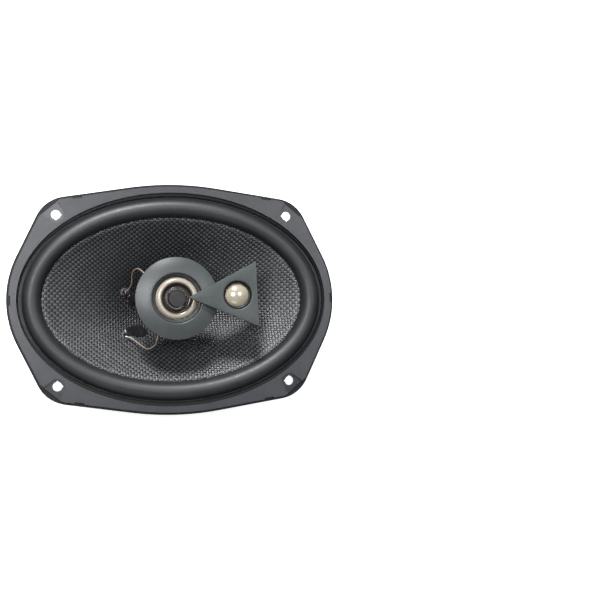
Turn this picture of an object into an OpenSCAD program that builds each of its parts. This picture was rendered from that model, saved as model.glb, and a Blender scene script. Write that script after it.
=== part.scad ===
// Three-way coaxial car speaker, 6 x 9 inch oval pattern.
// Origin: centre of the four screw holes, on the back (mounting) face of the flange.
// +X runs along the long side, +Y along the short side, +Z out of the front.

/* [Flange] */
// Length of the flange
flange_len = 235; // [234:0.5:237]
// Width of the flange
flange_wid = 166; // [165:0.5:167]
// Radius of the four rounded corners
corner_r = 25; // [24:0.5:26]
// Screw-hole spacing along the length
hole_pitch_x = 166; // [165:0.5:167]
// Screw-hole spacing along the width
hole_pitch_y = 121; // [120:0.5:122]
// Diameter of the screw holes
hole_d = 6.6; // [6.2:0.1:6.8]
// Thickness of the pressed steel sheet
sheet_t = 1.2; // [1:0.1:1.4]
// Thickness of the plastic trim ring on the flange
trim_t = 2.8; // [2.4:0.1:3.2]

/* [Basket] */
// Length of the bowl where it passes through the panel
bowl_len = 222; // [221:0.5:223]
// Width of the bowl where it passes through the panel
bowl_wid = 151.6; // [151:0.2:152]
// Depth of the step from the flange down to the surround's ledge
step_drop = 2.7; // [2.5:0.1:3]
// Outer radius of the round pan that holds the spider
pan_r = 41; // [40.5:0.5:42]
// Width of each of the six ribs
rib_w = 15; // [12:1:18]

/* [Cone and suspension] */
// Length of the cone's rim
cone_len = 187; // [185:0.5:188]
// Width of the cone's rim
cone_wid = 118.5; // [117:0.5:119]
// Thickness of the woven cone
cone_t = 0.7; // [0.6:0.1:0.9]
// Width of the half-roll surround
roll_w = 13.3; // [13:0.1:13.5]
// Height of the half roll above its feet
roll_h = 6.5; // [5.5:0.1:6.6]
// Thickness of the rubber
rubber_t = 0.8; // [0.7:0.1:1]

/* [Motor] */
// Outer diameter of the ferrite ring magnet
magnet_d = 90; // [86:1:92]
// Thickness of the ferrite ring magnet
magnet_t = 15; // [13:1:16]
// Thickness of the front plate
plate_t = 5; // [4.5:0.5:5]
// Diameter of the pole piece
pole_d = 24.8; // [24.6:0.1:24.8]

/* [Tweeter bridge] */
// Diameter of the round midrange housing
disc_d = 58.5; // [58:0.5:60]
// Height of the midrange housing's front rim, before the bridge's extra height
disc_z = 16.6; // [16.4:0.1:16.8]
// Extra height of the tweeter bridge on its post
bridge_lift = 2.4; // [1.6:0.1:3]
// Turn of the triangular pod about the axis
pod_turn = 2.4; // [0:0.2:6]
// Distance from the axis to the pod's sharp tip
pod_tip = 7.6; // [7.4:0.1:9]
// Distance from the axis to the pod's straight side
pod_end = 57; // [56:0.5:58]
// Half the length of the pod's straight side
pod_half = 23.2; // [22:0.1:24]
// Distance from the axis to the centre of the dome
dome_x = 42.7; // [42.5:0.1:43]

/* [Hidden] */
$fn = 96;

eps = 0.01;

// Flange outline: end arc, leaning side, corner arc, leaning top and top arc, all tangent
corner_c = [hole_pitch_x / 2 - 9.1, hole_pitch_y / 2 - 11.7];
side_lean = 26;
top_lean = 81.3;
side_d = corner_c * [cos(side_lean), sin(side_lean)] + corner_r;
end_cx = (flange_len / 2 - side_d) / (1 - cos(side_lean));
end_r = flange_len / 2 - end_cx;
top_d = corner_c * [cos(top_lean), sin(top_lean)] + corner_r;
top_cy = (top_d - flange_wid / 2) / (1 - sin(top_lean));
top_r = flange_wid / 2 + top_cy;
trim_inset = 1.8;
trim_z = sheet_t + trim_t;
hole_r = hole_d / 2;
corner_lean = 45;
pocket_lean = 50;

// Heights of the basket, down from the mounting face
ledge_z = sheet_t - step_drop;
skirt_z = -16;
landing_z = -42;
pan_z = -52;

// Ovals of the bowl as [half length, half width]
bowl_out = [bowl_len / 2, bowl_wid / 2];
bowl_in = bowl_out - [sheet_t, sheet_t];
ledge_in = [104, 69];
skirt_out = [98.2, 63.2];
rib_angles = [0, 50, 130, 180, 230, 310];

// Motor stack, downwards from the basket's pan
plate_z = pan_z - plate_t;
magnet_z = plate_z - magnet_t;
yoke_t = 5;
yoke_z = magnet_z - yoke_t;
plate_r = 38;
yoke_r = 40;
pole_r = pole_d / 2;
pole_top = pan_z + 0.5;
gap_out_r = 14;
post_bore_r = 2.6;

// Voice coil
former_in = pole_r + 0.35;
former_out = former_in + 0.25;
coil_out = former_out + 0.6;
coil_z = [-60.5, -48.5];
former_z = [-62, -34];

// Cone and surround
rim = [cone_len / 2, cone_wid / 2];
rim_z = ledge_z - 0.3;
lip_w = 1.8;
neck_r = former_out + 0.06;
neck_z = -37;
roll_in = rim + [0.4, 0.4];
roll_out = roll_in + [roll_w, roll_w];
oval_steps = 80;
cone_steps = 7;
roll_steps = 11;

// Midrange
seat_z = 12.5;
mid_base_z = 1.8;
recess_r = 17.6;
cup_r = 14.5;
mid_bore_r = 12.4;
mid_cup_top = 10;

// Pod
pod_z = [17.2, 20.2];
pod_cup_r = 12.8;
pod_floor_z = 7.7;
pod_bosses = [[53, 14], [53, -14]];

// Terminals
board_y = -44.3;
board_t = 1.6;
tongue_t = 1.8;
terminal_x = 8;
rivet_z = -34;
rivet_hole_r = 1.5;

// Points of an arc about c from angle a to angle b
function arc_points(c, r, a, b, n) = [for (i = [0:n])
    let (turn = mix(a, b, i / n))
    c + r * [cos(turn), sin(turn)]];

// One quarter of the flange outline, moved inwards by inset
function quarter(inset) = concat(
    arc_points([end_cx, 0], end_r - inset, 0, side_lean, 8),
    arc_points(corner_c, corner_r - inset, side_lean, top_lean, 14),
    arc_points([0, -top_cy], top_r - inset, top_lean, 90, 5)
);

function reversed(list) = [for (i = [len(list) - 1:-1:0]) list[i]];

function outline(inset) = let (q = quarter(inset), n = len(q)) concat(
    q,
    [for (i = [n - 2:-1:0]) [-q[i][0], q[i][1]]],
    [for (i = [1:n - 1]) -q[i]],
    [for (i = [n - 2:-1:1]) [q[i][0], -q[i][1]]]
);

function oval_point(size, angle) = [size[0] * cos(angle), size[1] * sin(angle)];

function mix(a, b, t) = a + (b - a) * t;

// Skin of a closed ring: rows of points round the axis, the last row joined to the first
module ring_skin(rows) {
    n = len(rows[0]);
    m = len(rows);
    points = [for (row = rows) each row];
    faces = [for (j = [0:m - 1]) for (i = [0:n - 1])
        let (i2 = (i + 1) % n, j2 = (j + 1) % m)
        each [
            [j * n + i, j * n + i2, j2 * n + i2],
            [j * n + i, j2 * n + i2, j2 * n + i]
        ]
    ];
    polyhedron(points = points, faces = faces);
}

function oval_row(size, z, n = oval_steps) = [for (i = [0:n - 1])
    let (p = oval_point(size, 360 * i / n)) [p[0], p[1], z]];

module oval(size, h) {
    linear_extrude(h) polygon([for (i = [0:oval_steps - 1]) oval_point(size, 360 * i / oval_steps)]);
}

// A tube swept along points, with flat ends
module swept_tube(path, r, sides = 8) {
    last = len(path) - 1;
    rings = [for (k = [0:last])
        let (
            ahead = path[min(k + 1, last)] - path[max(k - 1, 0)],
            t = ahead / norm(ahead),
            helper = abs(t[2]) < 0.9 ? [0, 0, 1] : [1, 0, 0],
            u = cross(helper, t) / norm(cross(helper, t)),
            v = cross(t, u)
        )
        [for (i = [0:sides - 1]) path[k] + r * (u * cos(360 * i / sides) + v * sin(360 * i / sides))]
    ];
    points = [for (ring = rings) each ring];
    walls = [for (k = [0:last - 1]) for (i = [0:sides - 1])
        let (i2 = (i + 1) % sides)
        each [
            [k * sides + i, (k + 1) * sides + i2, k * sides + i2],
            [k * sides + i, (k + 1) * sides + i, (k + 1) * sides + i2]
        ]
    ];
    ends = [[for (i = [0:sides - 1]) i], [for (i = [sides - 1:-1:0]) last * sides + i]];
    polyhedron(points = points, faces = concat(walls, ends));
}

// Points of a smooth line through a few chosen points (Catmull-Rom)
function spline(p, steps = 4) = concat(
    [for (k = [0:len(p) - 2]) for (s = [0:steps - 1])
        let (
            a = p[max(k - 1, 0)], b = p[k], c = p[k + 1], d = p[min(k + 2, len(p) - 1)], t = s / steps
        )
        b + (c - a) * t / 2 + (2 * a - 5 * b + 4 * c - d) * t * t / 2
            + (3 * b - 3 * c + d - a) * t * t * t / 2
    ],
    [p[len(p) - 1]]
);

// Round screw hole with a squared inner end, as a cutter of height h
module screw_hole(h) {
    square_half = 0.9 * hole_r;
    cylinder(r = hole_r, h = h);
    translate([-square_half, -square_half, 0]) cube([square_half, 2 * square_half, h]);
}

// The screw positions, each turned so that +X points out of the corner at the given lean
module at_holes(lean = corner_lean) {
    for (sx = [-1, 1]) for (sy = [-1, 1])
        translate([sx * hole_pitch_x / 2, sy * hole_pitch_y / 2, 0])
            rotate([0, 0, atan2(sy * sin(lean), sx * cos(lean))]) children();
}

module rib(angle) {
    reach = 1 / norm([cos(angle) / skirt_out[0], sin(angle) / skirt_out[1]]);
    top = [reach + 0.6, skirt_z + 2.5];
    knee = [mix(top[0], pan_r, 0.45), -31];
    foot = [pan_r - 0.2, landing_z - 3];
    t = 1.6;
    rotate([0, 0, angle]) rotate([90, 0, 0]) {
        translate([0, 0, -rib_w / 2]) linear_extrude(rib_w)
            polygon([top, top - [t, 0], knee - [t, -t / 2], foot - [t, -t], foot, knee]);
        for (side = [-1, 1])
            translate([0, 0, side * (rib_w / 2 - t / 2) - t / 2]) linear_extrude(t)
                polygon([
                    top, knee - [t, -t / 2], foot - [t, -t], foot + [0, -3], knee + [2, -3], top + [1, -4]
                ]);
    }
}

module basket() {
    color("#1b1d20") difference() {
        union() {
            difference() {
                linear_extrude(sheet_t) polygon(outline(0));
                translate([0, 0, -1]) oval(bowl_in, sheet_t + 2);
            }
            ring_skin([
                oval_row(bowl_out, sheet_t / 2), oval_row(bowl_out, ledge_z - sheet_t),
                oval_row(ledge_in + [sheet_t, sheet_t], ledge_z - sheet_t), oval_row(skirt_out, skirt_z),
                oval_row(skirt_out - [sheet_t, sheet_t], skirt_z), oval_row(ledge_in, ledge_z),
                oval_row(bowl_in, ledge_z), oval_row(bowl_in, sheet_t / 2)
            ]);
            for (angle = rib_angles) rib(angle);
            rotate_extrude() polygon([
                [gap_out_r + 1, pan_z], [pan_r - 1.5, pan_z], [pan_r, pan_z + 1.5],
                [pan_r, landing_z], [pan_r - 5.5, landing_z], [pan_r - 5.5, landing_z - sheet_t],
                [pan_r - sheet_t, landing_z - sheet_t], [pan_r - sheet_t, pan_z + sheet_t],
                [gap_out_r + 1, pan_z + sheet_t]
            ]);
            translate([-12, board_y + board_t, pan_z + 2]) cube([24, 5, 7]);
            translate([-12, board_y + board_t, pan_z + 2]) cube([24, tongue_t, 22]);
        }
        translate([0, 0, -1]) at_holes() screw_hole(sheet_t + 2);
        for (angle = [45:90:315])
            rotate([0, 0, angle]) translate([30, 0, pan_z - 1]) cylinder(r = 2, h = 4);
        for (x = [-terminal_x, terminal_x])
            translate([x, board_y + 10, rivet_z]) rotate([90, 0, 0]) cylinder(r = rivet_hole_r, h = 12);
        translate([0, 0, pan_z + sheet_t])
            cylinder(r = pan_r - sheet_t, h = landing_z - pan_z - 2 * sheet_t);
    }
}

// Flared pocket round a screw hole, its floor falling towards the corner, as a cutter
module trim_pocket() {
    half_in = 5.2;
    half_out = 10;
    reach = 24;
    slope = 6;
    sink = 0.35;
    translate([-half_in, 0, trim_z - sink]) rotate([0, slope, 0]) linear_extrude(6) polygon([
        [0, 0.5 * half_in], [0, -0.5 * half_in], [0.4 * half_in, -0.9 * half_in], [half_in, -half_in - 0.5],
        [reach, -half_out], [reach, half_out], [half_in, half_in + 0.5], [0.4 * half_in, 0.9 * half_in]
    ]);
}

// Plastic ring on the flange, cut short at the corners where the steel shows
module trim_ring() {
    notch = [7, 2.4];
    notch_at = [68, 73.4];
    corner_cut = 6.4;
    color("#3a3e44") difference() {
        translate([0, 0, sheet_t]) linear_extrude(trim_t) polygon(outline(trim_inset));
        translate([0, 0, sheet_t - 1]) oval(bowl_in + [0.8, 2.2], trim_t + 2);
        at_holes(pocket_lean) {
            trim_pocket();
            translate([corner_cut, -20, 0]) cube([20, 40, trim_z + 1]);
        }
        translate([0, 0, sheet_t - 1]) at_holes() screw_hole(trim_t + 2);
        for (sx = [-1, 1]) for (sy = [-1, 1])
            translate([sx * notch_at[0], sy * notch_at[1], sheet_t + trim_t / 2])
                rotate([0, 0, -sx * sy * (90 - top_lean)])
                    cube([notch[0], notch[1], trim_t + 1], center = true);
        for (sx = [-1, 1])
            translate([sx * (flange_len / 2 - trim_inset), 0, sheet_t + trim_t / 2])
                cube([notch[1], notch[0], trim_t + 1], center = true);
    }
}

// Half-roll surround: inner foot on the cone's lip, outer foot on the basket's ledge
module surround() {
    foot_z = ledge_z + rubber_t;
    under_lip = rim_z + 0.3 - cone_t;
    foot_in = rim - [lip_w - 0.6, lip_w - 0.6];
    foot_out = bowl_in - [0.5, 0.5];
    top = concat(
        [oval_row(foot_in, under_lip), oval_row(roll_in, under_lip)],
        [for (k = [1:roll_steps])
            let (s = 180 * k / roll_steps)
            oval_row(mix(roll_in, roll_out, (1 - cos(s)) / 2), foot_z + roll_h * sin(s))],
        [oval_row(foot_out, foot_z)]
    );
    under = concat(
        [oval_row(foot_out, ledge_z)],
        [for (k = [roll_steps:-1:1])
            let (s = 180 * k / roll_steps)
            oval_row(mix(roll_in + [rubber_t, rubber_t], roll_out - [rubber_t, rubber_t], (1 - cos(s)) / 2),
                ledge_z + roll_h * sin(s))],
        [
            oval_row(roll_in + [rubber_t, rubber_t], under_lip - rubber_t),
            oval_row(foot_in, under_lip - rubber_t)
        ]
    );
    color("#33373c") ring_skin(concat(top, under));
}

function cone_size(u) = mix(rim - [lip_w, lip_w], [neck_r, neck_r], u);

function cone_z(u) = mix(rim_z, neck_z, 0.86 * u + 0.14 * sin(90 * u));

// Woven cone: flat lip under the surround, then an oval funnel down to the round neck
module cone() {
    lip_z = rim_z + 0.3;
    front = concat(
        [oval_row(rim, lip_z), oval_row(rim - [lip_w, lip_w], lip_z)],
        [for (k = [1:cone_steps]) oval_row(cone_size(k / cone_steps), cone_z(k / cone_steps) + 0.3)]
    );
    back = concat(
        [for (k = [cone_steps:-1:1])
            oval_row(cone_size(k / cone_steps) + [cone_t, cone_t] * (k == cone_steps ? 0.4 : 0.3),
                cone_z(k / cone_steps) + 0.3 - cone_t * 1.1)],
        [oval_row(rim - [lip_w - 0.25, lip_w - 0.25], lip_z - cone_t), oval_row(rim, lip_z - cone_t)]
    );
    color("#26282b") ring_skin(concat(front, back));
}

module coil_former() {
    color("#b08a4a") translate([0, 0, former_z[0]]) difference() {
        cylinder(r = former_out, h = former_z[1] - former_z[0]);
        translate([0, 0, -1]) cylinder(r = former_in, h = former_z[1] - former_z[0] + 2);
    }
}

module voice_coil() {
    color("#b5622d") translate([0, 0, coil_z[0]]) difference() {
        cylinder(r = coil_out, h = coil_z[1] - coil_z[0]);
        translate([0, 0, -1]) cylinder(r = former_out, h = coil_z[1] - coil_z[0] + 2);
    }
}

// Corrugated cloth spider between the former and the basket's landing
module spider() {
    waves = 5;
    cloth_t = 0.5;
    swing = 1.5;
    inner = former_out + 0.05;
    outer = pan_r - 5.5;
    n = 40;
    mid_z = landing_z + cloth_t / 2;
    function wave(k) = let (r = mix(inner + 2, outer, k / n)) [r, mid_z + swing * sin(360 * waves * k / n)];
    line = [for (k = [0:n]) wave(k)];
    color("#8a7440") rotate_extrude() polygon(concat(
        [[inner, mid_z + cloth_t / 2]],
        [for (p = line) p + [0, cloth_t / 2]],
        [[pan_r - 0.5, mid_z + cloth_t / 2], [pan_r - 0.5, mid_z - cloth_t / 2]],
        [for (p = reversed(line)) p - [0, cloth_t / 2]],
        [[inner, mid_z - cloth_t / 2]]
    ));
}

// How far down the cone a point (x, y) lies, from 0 at the lip to 1 at the neck, by halving
function cone_share(p, lo = 0, hi = 1, n = 20) = n == 0 ? lo : let (
    u = (lo + hi) / 2, size = cone_size(u), outside = norm([p[0] / size[0], p[1] / size[1]]) < 1
) outside ? cone_share(p, u, hi, n - 1) : cone_share(p, lo, u, n - 1);

function cone_height(p) = cone_z(cone_share(p)) + 0.3;

function on_cone(p, above = 0) = [p[0], p[1], cone_height(p) + above];

// Sets its children on the cone's front, upright to its surface
module seated(p, gap) {
    lean = [
        cone_height(p - [0.5, 0]) - cone_height(p + [0.5, 0]),
        cone_height(p - [0, 0.5]) - cone_height(p + [0, 0.5])
    ];
    translate(on_cone(p)) rotate([0, atan(norm(lean)), atan2(lean[1], lean[0])])
        translate([0, 0, gap]) children();
}

// Where the front leads meet the cone
eyelet_points = [[-33.6, 6.9], [-34.2, -25.9]];
// Glue pads beside them as [x, y, radius]
glue_spots = [[-27.6, 1.6, 4.3], [-25.6, -22.6, 5.2]];

module lead_eyelets() {
    color("#c9a55c") for (p = eyelet_points) seated(p, 0.06) difference() {
        cylinder(r1 = 2.1, r2 = 1.8, h = 1.1);
        translate([0, 0, 0.4]) cylinder(r = 1.1, h = 1);
    }
}

// Flat drops of black glue beside the eyelets
module glue_pads() {
    crown = 1.1;
    color("#111213") for (pad = glue_spots) seated([pad[0], pad[1]], 0.35) rotate_extrude()
        polygon(concat([[0, 0]], [for (a = [0:15:90]) [pad[2] * cos(a), crown * sin(a)]]));
}

// Thin leads from under the midrange housing to the cone's eyelets
upper_lead = [[-12.1, 8, 7.4], [-17.5, 13.5, 7.8], [-22.5, 19.3, 5], [-26.2, 22.4, -1], [-29.2, 19.7, -9],
    [-29.3, 12.5, -17], [-31.2, 8.8, -23.2], on_cone(eyelet_points[0], 1.6)];
lower_lead = [[-8.1, -12.1, 7.4], [-10.5, -20, 7.6], [-13, -27.4, 4], [-13.9, -32, -1], [-18.9, -35.4, -6],
    [-23.5, -32.5, -11.5], [-29.6, -27.6, -17.2], on_cone(eyelet_points[1], 1.6)];

module front_lead_upper() {
    color("#b87a52") swept_tube(spline(upper_lead), 0.35);
}

module front_lead_lower() {
    color("#b87a52") swept_tube(spline(lower_lead), 0.35);
}

// Braided leads from the terminals to the back of the cone
function rear_lead(x) = [
    [x, -39.6, -34], [x, -36.8, -35.4], [x, -32.4, -37.2], [x, -28, -36.4], [x, -25.4, -33],
    [x, -24.8, -29.3]
];

module rear_lead_positive() {
    color("#c8a070") swept_tube(spline(rear_lead(-terminal_x)), 0.6);
}

module rear_lead_negative() {
    color("#c8a070") swept_tube(spline(rear_lead(terminal_x)), 0.6);
}

module front_plate() {
    color("#2a2c2e") translate([0, 0, plate_z]) difference() {
        cylinder(r = plate_r, h = plate_t);
        translate([0, 0, -1]) cylinder(r = gap_out_r, h = plate_t + 2);
        for (angle = [45:90:315])
            rotate([0, 0, angle]) translate([30, 0, plate_t - 3]) cylinder(r = 2, h = 4);
    }
}

module magnet() {
    bevel = 1.5;
    color("#37383a") rotate_extrude() polygon([
        [gap_out_r + 4, magnet_z], [magnet_d / 2 - bevel, magnet_z], [magnet_d / 2, magnet_z + bevel],
        [magnet_d / 2, plate_z - bevel], [magnet_d / 2 - bevel, plate_z], [gap_out_r + 4, plate_z]
    ]);
}

module pole_yoke() {
    color("#2a2c2e") rotate_extrude() polygon([
        [4.6, yoke_z], [yoke_r - 1, yoke_z], [yoke_r, yoke_z + 1], [yoke_r, magnet_z],
        [pole_r, magnet_z], [pole_r, pole_top], [post_bore_r, pole_top], [post_bore_r, yoke_z + 3],
        [4.6, yoke_z + 3]
    ]);
}

module basket_rivets() {
    color("#4a4c4f") for (angle = [45:90:315]) rotate([0, 0, angle]) translate([30, 0, 0]) {
        translate([0, 0, pan_z - 2.9]) cylinder(r = 1.9, h = 2.9 + sheet_t);
        translate([0, 0, pan_z + sheet_t]) cylinder(r1 = 3.2, r2 = 2.4, h = 1.2);
    }
}

// Hollow column on the pole piece that carries the midrange housing
module post() {
    post_top = mid_base_z + bridge_lift;
    color("#1f2123") rotate_extrude() polygon([
        [1.6, pole_top], [9.6, pole_top], [9.6, pole_top + 3], [7.4, pole_top + 5], [7, post_top - 6],
        [9.5, post_top], [1.6, post_top]
    ]);
}

module post_washer() {
    color("#a8a9ab") translate([0, 0, yoke_z + 2.2]) difference() {
        cylinder(r = 4.4, h = 0.8);
        translate([0, 0, -1]) cylinder(r = 2.1, h = 3);
    }
}

module post_screw() {
    color("#a8a9ab") difference() {
        union() {
            translate([0, 0, yoke_z + 0.2]) cylinder(r1 = 3.2, r2 = 3.8, h = 2);
            translate([0, 0, yoke_z + 2]) cylinder(r = 1.9, h = pole_top - yoke_z - 2);
            translate([0, 0, pole_top - 1]) cylinder(r = 1.5, h = 16);
        }
        for (a = [0, 90]) rotate([0, 0, a]) translate([-2, -0.4, yoke_z - 0.1]) cube([4, 0.8, 1.5]);
    }
}

module raised() {
    translate([0, 0, bridge_lift]) children();
}

module mid_housing() {
    disc_r = disc_d / 2;
    color("#3c4143") raised() rotate_extrude() polygon(concat(
        [[2, mid_base_z], [cup_r - 1.5, mid_base_z], [cup_r, mid_base_z + 1.5], [cup_r, 9.5],
            [recess_r + 1, seat_z - 1.4], [disc_r - 1, 12.6], [disc_r, 13.1]],
        [for (k = [0:5]) let (t = k / 5)
            [mix(disc_r, recess_r + 0.9, t), mix(14.1, disc_z, t) + 0.25 * sin(180 * t)]],
        [[recess_r + 0.3, disc_z - 0.1], [recess_r, disc_z - 0.6], [recess_r, seat_z], [mid_bore_r, seat_z],
            [mid_bore_r, mid_base_z + 1.4], [2, mid_base_z + 1.4]]
    ));
}

module cup(r, wall, floor_t, z0, z1, bore = 0) {
    translate([0, 0, z0]) difference() {
        cylinder(r = r, h = z1 - z0);
        translate([0, 0, floor_t]) cylinder(r = r - wall, h = z1 - z0);
        if (bore > 0) translate([0, 0, -1]) cylinder(r = bore, h = floor_t + 2);
    }
}

module mid_yoke_cup() {
    color("#8d8f91") raised() cup(12.3, 1.8, 2, mid_base_z + 1.4, mid_cup_top);
}

module mid_magnet() {
    color("#b9bbbd") raised() translate([0, 0, mid_base_z + 3.4]) cylinder(r = 8, h = 3);
}

module mid_pole_plate() {
    color("#8d8f91") raised() translate([0, 0, mid_base_z + 6.4])
        cylinder(r = 8.4, h = mid_cup_top - mid_base_z - 6.4);
}

module mid_phase_plug() {
    color("#26252b") raised() rotate_extrude() polygon([
        [0, 10], [6.2, 10], [6.6, 11.4], [6.5, 15.7], [5.9, 16.3], [5.6, 16.1], [0, 16.1]
    ]);
}

module mid_coil() {
    color("#b5622d") raised() translate([0, 0, 7.6]) difference() {
        cylinder(r = 9.7, h = 4.6);
        translate([0, 0, -1]) cylinder(r = 8.8, h = 7);
    }
}

// Inner, moving part of the midrange diaphragm: a valley with a bead round the plug
module mid_cone() {
    top = [
        [10.25, 13.7], [9.9, 13.2], [9.6, 12.75], [9.1, 12.55], [8.6, 12.7], [8.2, 13.2], [7.9, 13.5],
        [7.6, 13.45]
    ];
    under = [[7.45, 13.1], [7.8, 13.0], [8.2, 12.5], [8.75, 12.2], [9.7, 12.2], [10.25, 13.1]];
    color("#d8cfc0") raised() rotate_extrude() polygon(concat(top, under));
}

// Half-roll ring round the midrange cone, with a flat foot on the housing's seat
module mid_suspension() {
    n = 10;
    bead_c = 12.45;
    function bead(k, half, base, rise) = let (s = 180 * k / n)
        [bead_c - half * cos(s), base + 0.6 * (1 - k / n) + rise * sin(s)];
    top = [for (k = [0:n]) bead(k, 2.2, 13.1, 1.9)];
    foot = [[17.3, 13.1], [17.3, seat_z], [14.4, seat_z]];
    under = [for (k = [n - 1:-1:0]) bead(k, 1.9, 12.7, 1.85)];
    color("#d8cfc0") raised() rotate_extrude() polygon(concat(top, foot, under));
}

module mid_clamp_ring() {
    color("#1c1d1f") raised() rotate_extrude() polygon([
        [15, 13.1], [17.5, 13.1], [17.5, 14.4], [17.2, 14.6], [15.4, 14.2], [15, 13.8]
    ]);
}

module in_pod() {
    raised() rotate([0, 0, pod_turn]) children();
}

// Rear cup of the dome tweeter, with the arm and the collar round the midrange housing
module pod_housing() {
    arm = [8, 9.4];
    color("#2b2e30") in_pod() {
        difference() {
            union() {
                translate([0, 0, arm[0]]) cylinder(r = cup_r + 2.6, h = arm[1] - arm[0]);
                translate([cup_r, -7, arm[0]]) cube([dome_x - cup_r - 6, 14, arm[1] - arm[0]]);
                translate([dome_x, 0, pod_floor_z]) cylinder(r1 = pod_cup_r - 2, r2 = pod_cup_r, h = 2);
                translate([dome_x, 0, pod_floor_z + 2]) cylinder(r = pod_cup_r, h = pod_z[0] - pod_floor_z - 2);
                for (p = pod_bosses)
                    translate([p[0], p[1], arm[0]]) cylinder(r = 2.6, h = pod_z[0] - arm[0]);
                for (side = [-1, 1])
                    translate([dome_x, side * 7 - 1, arm[0]]) rotate([0, 0, side * 37])
                        cube([14, 2, pod_z[0] - arm[0] - 0.5]);
            }
            translate([0, 0, arm[0] - 1]) cylinder(r = cup_r + 0.05, h = 6);
            translate([dome_x, 0, pod_floor_z + 1.5]) cylinder(r = 11.7, h = 20);
            for (p = pod_bosses)
                translate([p[0], p[1], arm[0] - 1]) cylinder(r = 0.9, h = 20);
        }
    }
}

module pod_plate() {
    edge = 0.4;
    color("#454c4c") in_pod() difference() {
        union() {
            translate([0, 0, pod_z[0]]) linear_extrude(pod_z[1] - pod_z[0] - edge)
                polygon([[pod_tip, 0], [pod_end, -pod_half], [pod_end, pod_half]]);
            translate([0, 0, pod_z[1] - edge]) linear_extrude(edge)
                polygon([
                    [pod_tip + 0.9, 0], [pod_end - edge, -pod_half + 0.8], [pod_end - edge, pod_half - 0.8]
                ]);
        }
        translate([dome_x, 0, pod_z[0] - 1]) cylinder(r = 10.1, h = 6);
        translate([dome_x, 0, pod_z[1] - 0.8]) cylinder(r1 = 10.1, r2 = 10.9 + eps, h = 0.8 + eps);
        for (p = pod_bosses)
            translate([p[0], p[1], pod_z[0] - 1]) cylinder(r = 0.8, h = 2.4);
    }
}

module pod_screws() {
    color("#2a2a2c") in_pod() for (p = pod_bosses) translate([p[0], p[1], 0]) {
        translate([0, 0, 6.3]) difference() {
            cylinder(r1 = 1.7, r2 = 2.1, h = 1.7);
            translate([-1.2, -0.25, -0.1]) cube([2.4, 0.5, 0.8]);
        }
        translate([0, 0, 8 - eps]) cylinder(r = 0.75, h = pod_z[0] - 8 + 1.2);
    }
}

module at_dome() {
    in_pod() translate([dome_x, 0, 0]) children();
}

module dome_yoke_cup() {
    color("#8d8f91") at_dome() cup(11.6, 2.1, 1.6, pod_floor_z + 1.5, 16);
}

module dome_magnet() {
    color("#b9bbbd") at_dome() translate([0, 0, pod_floor_z + 3.1]) cylinder(r = 7.2, h = 2.4);
}

module dome_pole_plate() {
    color("#8d8f91") at_dome() translate([0, 0, pod_floor_z + 5.5]) cylinder(r = 7.4, h = 1.5);
}

module dome_coil() {
    color("#b5622d") at_dome() translate([0, 0, 12.6]) difference() {
        cylinder(r = 8.4, h = 3.5);
        translate([0, 0, -1]) cylinder(r = 7.7, h = 6);
    }
}

// Domed diaphragm: a shallow cap of a sphere, hollow underneath
module dome() {
    edge_r = 8.3;
    rise = 3.3;
    base = 16.1;
    t = 0.3;
    ball = (edge_r * edge_r + rise * rise) / (2 * rise);
    n = 12;
    half = asin(edge_r / ball);
    crown = base + 0.4 + rise;
    function cap(k, r, top) = let (a = half * k / n) [r * sin(a), top - r * (1 - cos(a))];
    outer = [for (k = [0:n]) cap(k, ball, crown)];
    inner = [for (k = [n:-1:0]) cap(k, ball - t, crown - t)];
    color("#ddd6c4") at_dome() rotate_extrude()
        polygon(concat(outer, [[edge_r, base], [edge_r - t, base]], inner));
}

module dome_suspension() {
    color("#1c1d1f") at_dome() rotate_extrude() polygon([
        [8.3, 16.1], [8.8, 16.7], [9.2, 16.9], [9.7, 16.4], [11.5, 16.4], [11.5, 16], [9.5, 16],
        [9.1, 16.5], [8.8, 16.3]
    ]);
}

module dome_clamp_ring() {
    color("#1c1d1f") at_dome() rotate_extrude() polygon([
        [9.9, 16.4], [11.55, 16.4], [11.55, 17.2], [10.3, 17.2]
    ]);
}

module terminal_board() {
    color("#6b4a2a") difference() {
        translate([-21, board_y, pan_z + 3]) cube([42, board_t, 24]);
        for (x = [-terminal_x, terminal_x])
            translate([x, board_y + 5, rivet_z]) rotate([90, 0, 0]) cylinder(r = rivet_hole_r, h = 10);
    }
}

// Bent spade tab: a foot on the board and a blade that stands out of it
module terminal(x, w) {
    t = 0.8;
    color("#c9b37e") difference() {
        union() {
            translate([x - w / 2, board_y - t, -45]) cube([w, t, 13.5]);
            translate([x - w / 2, board_y - 13, -45]) cube([w, 13, t]);
        }
        translate([x, board_y + 1, rivet_z]) rotate([90, 0, 0]) cylinder(r = rivet_hole_r, h = 4);
        translate([x, board_y - 9.5, -46]) cylinder(r = 0.9, h = 3);
    }
}

module terminal_positive() {
    terminal(-terminal_x, 6.3);
}

module terminal_negative() {
    terminal(terminal_x, 4.8);
}

module terminal_rivets() {
    back = -board_y - board_t - tongue_t;
    front = -board_y + 0.8;
    color("#b8b9ba") for (x = [-terminal_x, terminal_x]) translate([x, 0, rivet_z]) rotate([90, 0, 0]) {
        translate([0, 0, back]) cylinder(r = 1.4, h = front - back);
        translate([0, 0, front]) cylinder(r1 = 2.4, r2 = 1.8, h = 0.9);
        translate([0, 0, back - 0.9]) cylinder(r1 = 1.8, r2 = 2.4, h = 0.9);
    }
}

module capacitor(x, r, h) {
    translate([x, board_y - r, -27.4]) rotate([0, 90, 0]) {
        cylinder(r = r - 0.4, h = h, center = true);
        for (side = [-1, 1]) translate([0, 0, side * (h / 2 - 2.2) - 1.4]) cylinder(r = r, h = 2.8);
        translate([0, 0, -h / 2 + 3]) cylinder(r = r, h = h - 7);
    }
}

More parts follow.
